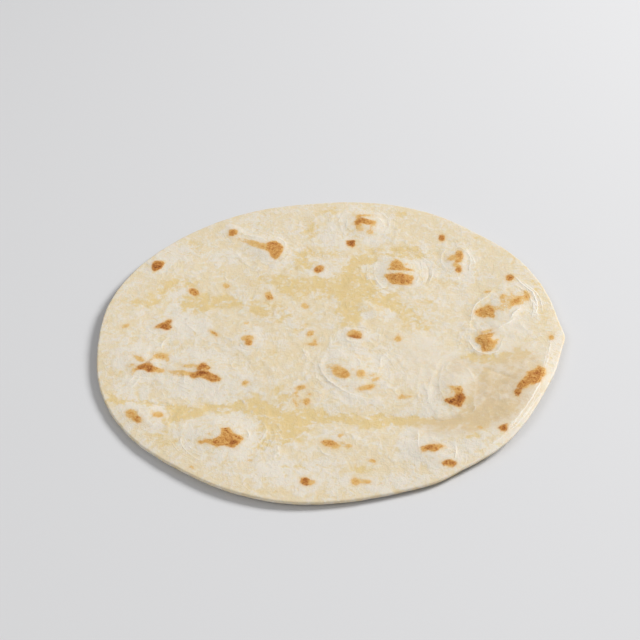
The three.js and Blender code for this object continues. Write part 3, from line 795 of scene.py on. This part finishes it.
def painted(tree, name):
    """A value that the points of the dough were told."""
    return add_node(tree, "ShaderNodeAttribute", attribute_name=name).outputs["Fac"]


def speckle(tree, coords, size, detail=3.0, roughness=0.55, distortion=0.0):
    """Noise from 0 to 1 with lumps of that size in millimetres."""
    return add_node(
        tree, "ShaderNodeTexNoise",
        {"Vector": coords, "Scale": 1.0 / (size * MM), "Detail": detail,
         "Roughness": roughness, "Distortion": distortion},
    ).outputs["Fac"]


def cells(tree, coords, size, output):
    """One output of a pattern of cells of about that size in millimetres."""
    return add_node(
        tree, "ShaderNodeTexVoronoi", {"Vector": coords, "Scale": 1.0 / (size * MM)},
    ).outputs[output]


def maths(tree, operation, first, second, third=None):
    """What one step of arithmetic gives."""
    inputs = {0: first, 1: second}
    if third is not None:
        inputs[2] = third
    return add_node(tree, "ShaderNodeMath", inputs, operation=operation).outputs[0]


def weigh(tree, *terms):
    """The sum of values, each times its weight."""
    total = 0.0
    for value, weight in terms:
        total = maths(tree, "MULTIPLY_ADD", value, weight, total)
    return total


def fade(tree, value, low, high, to_low=0.0, to_high=1.0):
    """to_low where the value is under low, to_high where it is over high, smooth between."""
    return add_node(
        tree, "ShaderNodeMapRange",
        {"Value": value, "From Min": low, "From Max": high, "To Min": to_low, "To Max": to_high},
        interpolation_type="SMOOTHSTEP",
    ).outputs["Result"]


def blend(tree, share, first, second):
    """The first colour, with that share of the second laid over it."""
    mix = add_node(tree, "ShaderNodeMix", data_type="RGBA")
    for socket, value in ((0, share), (6, first), (7, second)):
        if isinstance(value, bpy.types.NodeSocket):
            tree.links.new(value, mix.inputs[socket])
        else:
            mix.inputs[socket].default_value = value
    return mix.outputs[2]


FLOUR_WHITE = (0.793, 0.728, 0.620, 1.0)
CREST_FLOUR_AND_HIGHLIGHT = (0.900, 0.855, 0.768, 1.0)
DEEP_CREAM = (0.778, 0.657, 0.450, 1.0)
PRESSED_YELLOW_AND_SHADE = (0.762, 0.582, 0.286, 1.0)
# Painted shade: the tan laid over the damp places where the sheet turns from the light
DAMP_AND_SHADE_TAN = (0.685, 0.534, 0.347, 1.0)
BLUSH = (0.750, 0.500, 0.200, 1.0)
TOAST_TONES = (
    (0.00, (0.750, 0.500, 0.205, 1.0)),
    (0.30, (0.700, 0.395, 0.120, 1.0)),
    (0.55, (0.560, 0.250, 0.060, 1.0)),
    (0.80, (0.380, 0.125, 0.023, 1.0)),
    (1.00, (0.210, 0.060, 0.012, 1.0)),
)

# How far apart the rings round the blisters are, how much they change along their way, and the
# half width of a crest
RING_GAP, RING_DRIFT = 3.2, 0.14
CREST_HALF_WIDTH = 0.6


def threads(tree, coords, size, width, distortion=0.5):
    """Thin winding lines, about that size apart in millimetres: 1 on a line and 0 beside it."""
    lumps = speckle(tree, coords, size, 1.5, 0.5, distortion)
    off_line = maths(tree, "ABSOLUTE", maths(tree, "ADD", lumps, -0.5), 0.0)
    return fade(tree, off_line, 0.0, width, 1.0, 0.0)


def skin_wrinkles(tree, coords, waver):
    """The fine wrinkles of the skin: crests of the folds, rings round the blisters, and a
    faint crepe everywhere."""
    crests = 0.0
    for letter in "ab":
        beside = maths(tree, "ADD", painted(tree, "crest_beside_" + letter), waver)
        line = fade(tree, maths(tree, "ABSOLUTE", beside, 0.0), 0.0, CREST_HALF_WIDTH, 1.0, 0.0)
        crests = maths(tree, "MULTIPLY_ADD", line, painted(tree, "crest_rise_" + letter), crests)

    around = painted(tree, "around")
    split = add_node(tree, "ShaderNodeSeparateXYZ", {0: coords})
    ring_coords = add_node(
        tree, "ShaderNodeCombineXYZ",
        {"X": maths(tree, "MULTIPLY", around, MM),
         "Y": maths(tree, "MULTIPLY", split.outputs["X"], RING_DRIFT),
         "Z": maths(tree, "MULTIPLY", split.outputs["Y"], RING_DRIFT)},
    ).outputs["Vector"]
    rings = threads(tree, ring_coords, RING_GAP, 0.05, 0.2)
    ring_zone = maths(
        tree, "MULTIPLY", fade(tree, around, -5.0, -0.5), fade(tree, around, 3.0, 9.0, 1.0, 0.0)
    )
    ring_zone = maths(
        tree, "MULTIPLY", ring_zone, fade(tree, speckle(tree, coords, 8.0, 2.0), 0.42, 0.62)
    )
    rings = maths(tree, "MULTIPLY", rings, ring_zone)

    slanted = add_node(
        tree, "ShaderNodeMapping",
        {"Vector": coords, "Rotation": (0.0, 0.0, math.radians(20)), "Scale": (1.5, 0.8, 1.0)},
    ).outputs["Vector"]
    crepe_zone = fade(tree, speckle(tree, coords, 9.0, 2.0), 0.40, 0.60)
    crepe = maths(tree, "MULTIPLY", threads(tree, slanted, 4.0, 0.030, 1.2), crepe_zone)
    crepe = maths(tree, "MAXIMUM", crepe, threads(tree, slanted, 11.0, 0.012, 1.5))
    return crests, rings, crepe


def flour_on_cream(tree, patchy, crepe, grit, damp_and_shade):
    """Cream dough with dry flour on it, along the front right rim also a painted highlight. The two
    run together in the damp places.
    """
    edge = weigh(
        tree, (patchy, 1.0), (painted(tree, "floury_and_lit"), 0.32), (crepe, 0.05), (grit, 0.1)
    )
    flour = weigh(
        tree, (fade(tree, edge, 1.36, 1.88), 0.85), (fade(tree, edge, 1.56, 1.66), 0.15)
    )
    evenness = fade(tree, damp_and_shade, 0.0, 0.5, 0.0, 0.65)
    evened = maths(tree, "MULTIPLY", evenness, flour)
    flour = weigh(tree, (flour, 1.0), (evened, -1.0), (evenness, 0.7))
    return blend(tree, flour, DEEP_CREAM, FLOUR_WHITE)


def pressed_and_shaded_patches(tree, dough, coords, clouds, middle, mottle, fine):
    """Pressed patches with frayed edges and flecks of flour left in them, at the front right also
    painted shade, and how much of each place they cover."""
    edge = weigh(
        tree, (painted(tree, "pressed_and_shaded"), 1.0), (clouds, -0.5), (middle, -2.0), (mottle, -1.2),
        (fine, -0.2)
    )
    pressed_and_shaded_share = weigh(
        tree, (fade(tree, edge, -1.83, -0.87), 0.75), (fade(tree, edge, -1.47, -1.22), 0.25)
    )
    crumbs = cells(tree, coords, 3.6, "Distance")
    flecks = fade(tree, weigh(tree, (crumbs, 1.0), (fine, -0.35)), -0.05, 0.12, 0.55, 0.0)
    dough = blend(tree, pressed_and_shaded_share, dough, PRESSED_YELLOW_AND_SHADE)
    return blend(tree, flecks, dough, FLOUR_WHITE), pressed_and_shaded_share


def damp_and_painted_shade(tree, dough, patchy, damp_and_shade):
    """Painted shade: darker where the damp places are strongest, on slopes that turn from the light.
    """
    damp_and_shade_share = maths(tree, "MULTIPLY", damp_and_shade, fade(tree, patchy, 1.1, 1.8, 0.9, 0.4))
    damp_and_shade_share = maths(tree, "MULTIPLY", damp_and_shade_share, fade(tree, damp_and_shade, 0.25, 0.6))
    return blend(tree, damp_and_shade_share, dough, DAMP_AND_SHADE_TAN)


def crests_dusted_and_lit(tree, dough, crests, rings, crepe):
    """Crests dusted with flour and a painted highlight, furrows bare yellow dough and painted shade.
    """
    crest_flour_and_light = weigh(tree, (crests, 2.6), (rings, 0.22), (crepe, 0.15))
    # Painted highlight and flour on the crests, then painted shade and bare dough in the furrows
    dough = blend(tree, fade(tree, crest_flour_and_light, 0.05, 0.9, 0.0, 0.8), dough, CREST_FLOUR_AND_HIGHLIGHT)
    return blend(tree, fade(tree, crest_flour_and_light, -0.05, -0.9, 0.0, 0.6), dough, PRESSED_YELLOW_AND_SHADE)


def toasted_spots(tree, dough, coords, middle, fine, grit):
    """Toasted spots: a frayed edge, a tan blush round it, and a mottled brown inside."""
    depth = painted(tree, "toast_depth")
    grains = cells(tree, coords, 1.3, "Color")
    fray = weigh(tree, (fine, 1.6), (grit, 0.5), (middle, 1.3), (grains, 0.4), (1.0, -1.9))
    fray = maths(tree, "MULTIPLY", fray, fade(tree, depth, 0.1, 0.8, 1.3, 0.5))
    frayed = maths(tree, "ADD", painted(tree, "toast_inside"), fray)
    blush_share = fade(tree, frayed, -1.5, 0.2, 0.0, 0.45)
    blush_share = maths(tree, "MULTIPLY", blush_share, fade(tree, depth, 0.1, 0.6))
    dough = blend(tree, blush_share, dough, BLUSH)
    toast_share = fade(tree, frayed, -0.45, 0.35)
    scorch = speckle(tree, coords, 1.4, 4.0, 0.68, 1.2)
    speckled = fade(tree, weigh(tree, (depth, 1.6), (scorch, 1.6)), 0.95, 1.3)
    toast_share = maths(tree, "MULTIPLY", toast_share, speckled)
    toast_share = maths(tree, "MULTIPLY", toast_share, fade(tree, depth, 0.05, 0.4, 0.5, 1.0))
    cracks = threads(tree, coords, 2.6, 0.05, 1.0)
    tone = weigh(
        tree, (maths(tree, "POWER", depth, 1.6), 1.0), (fade(tree, frayed, -0.3, 1.4), 0.22),
        (scorch, 1.5), (cracks, 0.25), (grains, 0.1), (1.0, -1.18)
    )
    ramp = add_node(tree, "ShaderNodeValToRGB", {"Fac": tone})
    while len(ramp.color_ramp.elements) < len(TOAST_TONES):
        ramp.color_ramp.elements.new(0.5)
    for element, (position, colour) in zip(ramp.color_ramp.elements, TOAST_TONES):
        element.position = position
        element.color = colour
    return blend(tree, toast_share, dough, ramp.outputs["Color"])


def dough_material():
    """Baked dough: mottled cream and flour, yellow where pressed, browned where toasted."""
    material = bpy.data.materials.new("baked_dough")
    material.use_nodes = True
    tree = material.node_tree
    tree.nodes.clear()
    coords = add_node(tree, "ShaderNodeTexCoord").outputs["Object"]
    clouds = speckle(tree, coords, 13.0, 3.0, 0.6, 0.8)
    middle = speckle(tree, coords, 4.2, 5.0, 0.58, 0.6)
    mottle = speckle(tree, coords, 2.4, 2.0, 0.5, 1.2)
    fine = speckle(tree, coords, 1.2, 3.0, 0.65)
    grit = speckle(tree, coords, 0.5, 2.0, 0.6)
    patchy = weigh(tree, (clouds, 0.4), (middle, 1.3), (mottle, 1.0), (fine, 0.2))
    waver = weigh(tree, (middle, 2.0), (fine, 1.0), (1.0, -1.5))
    crests, rings, crepe = skin_wrinkles(tree, coords, waver)
    damp_and_shade = painted(tree, "damp_and_shade")

    dough = flour_on_cream(tree, patchy, crepe, grit, damp_and_shade)
    dough, pressed_and_shaded_share = pressed_and_shaded_patches(tree, dough, coords, clouds, middle, mottle, fine)
    dough = damp_and_painted_shade(tree, dough, patchy, damp_and_shade)
    dough = crests_dusted_and_lit(tree, dough, crests, rings, crepe)
    pores = fade(tree, weigh(tree, (grit, 1.0), (fine, 0.5)), 0.58, 0.70, 0.3, 0.0)
    dough = blend(tree, pores, dough, DEEP_CREAM)
    dough = toasted_spots(tree, dough, coords, middle, fine, grit)

    # Fine relief of pores and creases, weaker where the dough is damp. Pressed dough is smoother.
    skin_height = weigh(
        tree, (middle, 0.8), (mottle, 0.3), (fine, 0.5), (grit, 0.25), (crests, 1.2),
        (rings, 0.2), (crepe, 0.14)
    )
    bump = add_node(
        tree, "ShaderNodeBump",
        {"Height": skin_height, "Strength": fade(tree, damp_and_shade, 0.0, 0.6, 0.75, 0.35),
         "Distance": 0.4 * MM},
    )
    surface = add_node(
        tree, "ShaderNodeBsdfPrincipled",
        {"Base Color": dough, "Roughness": fade(tree, pressed_and_shaded_share, 0.0, 1.0, 0.72, 0.5),
         "IOR": 1.4, "Specular IOR Level": 0.35, "Subsurface Weight": 0.12,
         "Subsurface Radius": (1.0, 0.6, 0.35), "Subsurface Scale": 1.2 * MM,
         "Normal": bump.outputs["Normal"]},
    )
    add_node(tree, "ShaderNodeOutputMaterial", {"Surface": surface.outputs["BSDF"]})
    return material


tortilla.data.materials.append(dough_material())
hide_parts("tortilla")
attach(tortilla, "root")

# ---------------------------------------------------------------------------------------------
# The stage: a plain pale floor, a big soft light from the far right, a weaker one from the
# left, and a camera that looks down on the tortilla from the front.
# ---------------------------------------------------------------------------------------------
FLOOR_SIZE = 6.0
FLOOR_COLOUR = (0.72, 0.72, 0.73, 1.0)
FLOOR_ROUGHNESS = 0.9
ROOM_COLOUR = (1.0, 1.0, 1.0, 1.0)
ROOM_LIGHT = 0.3

bpy.ops.object.select_all(action="DESELECT")
bpy.ops.mesh.primitive_plane_add(size=FLOOR_SIZE)
floor = bpy.context.object
floor.name = "floor"
floor_paint = bpy.data.materials.new("floor_paint")
floor_paint.use_nodes = True
floor_shader = floor_paint.node_tree.nodes["Principled BSDF"]
floor_shader.inputs["Base Color"].default_value = FLOOR_COLOUR
floor_shader.inputs["Roughness"].default_value = FLOOR_ROUGHNESS
floor.data.materials.append(floor_paint)


def soft_light(name, place, size, power):
    """A round lamp that shines on the middle of the tortilla."""
    bpy.ops.object.light_add(type="AREA", location=place)
    lamp = bpy.context.object
    lamp.name = name
    lamp.data.shape = "DISK"
    lamp.data.size = size
    lamp.data.energy = power
    lamp.rotation_euler = (-Vector(place)).to_track_quat("-Z", "Y").to_euler()


soft_light("key", place=(1.65, 0.55, 1.25), size=0.8, power=46.0)
soft_light("fill", place=(-1.2, -0.9, 1.4), size=1.2, power=8.0)

world = bpy.data.worlds.new("room")
world.use_nodes = True
background = world.node_tree.nodes["Background"]
background.inputs["Color"].default_value = ROOM_COLOUR
background.inputs["Strength"].default_value = ROOM_LIGHT
bpy.context.scene.world = world
bpy.context.scene.view_settings.view_transform = "Standard"

PICTURE_PX = 640
FOCAL_PX = 1285
SENSOR_WIDTH = 36.0
CAMERA_ROLL = math.radians(3.2)
CAMERA_DISTANCE = 0.5485
CAMERA_AIM = Vector((-0.0035, 0.00905, 0.002))

camera_data = bpy.data.cameras.new("camera")
camera_data.sensor_width = SENSOR_WIDTH
camera_data.lens = FOCAL_PX / PICTURE_PX * SENSOR_WIDTH
camera = bpy.data.objects.new("camera", camera_data)
bpy.context.collection.objects.link(camera)
backwards = Vector((0.0, -math.cos(SIGHT_SLANT), math.sin(SIGHT_SLANT)))
level_right = Vector((1.0, 0.0, 0.0))
level_up = backwards.cross(level_right)
right = math.cos(CAMERA_ROLL) * level_right - math.sin(CAMERA_ROLL) * level_up
up = math.sin(CAMERA_ROLL) * level_right + math.cos(CAMERA_ROLL) * level_up
turn = Matrix((right, up, backwards)).transposed().to_4x4()
camera.matrix_world = Matrix.Translation(CAMERA_AIM + backwards * CAMERA_DISTANCE) @ turn
bpy.context.scene.camera = camera
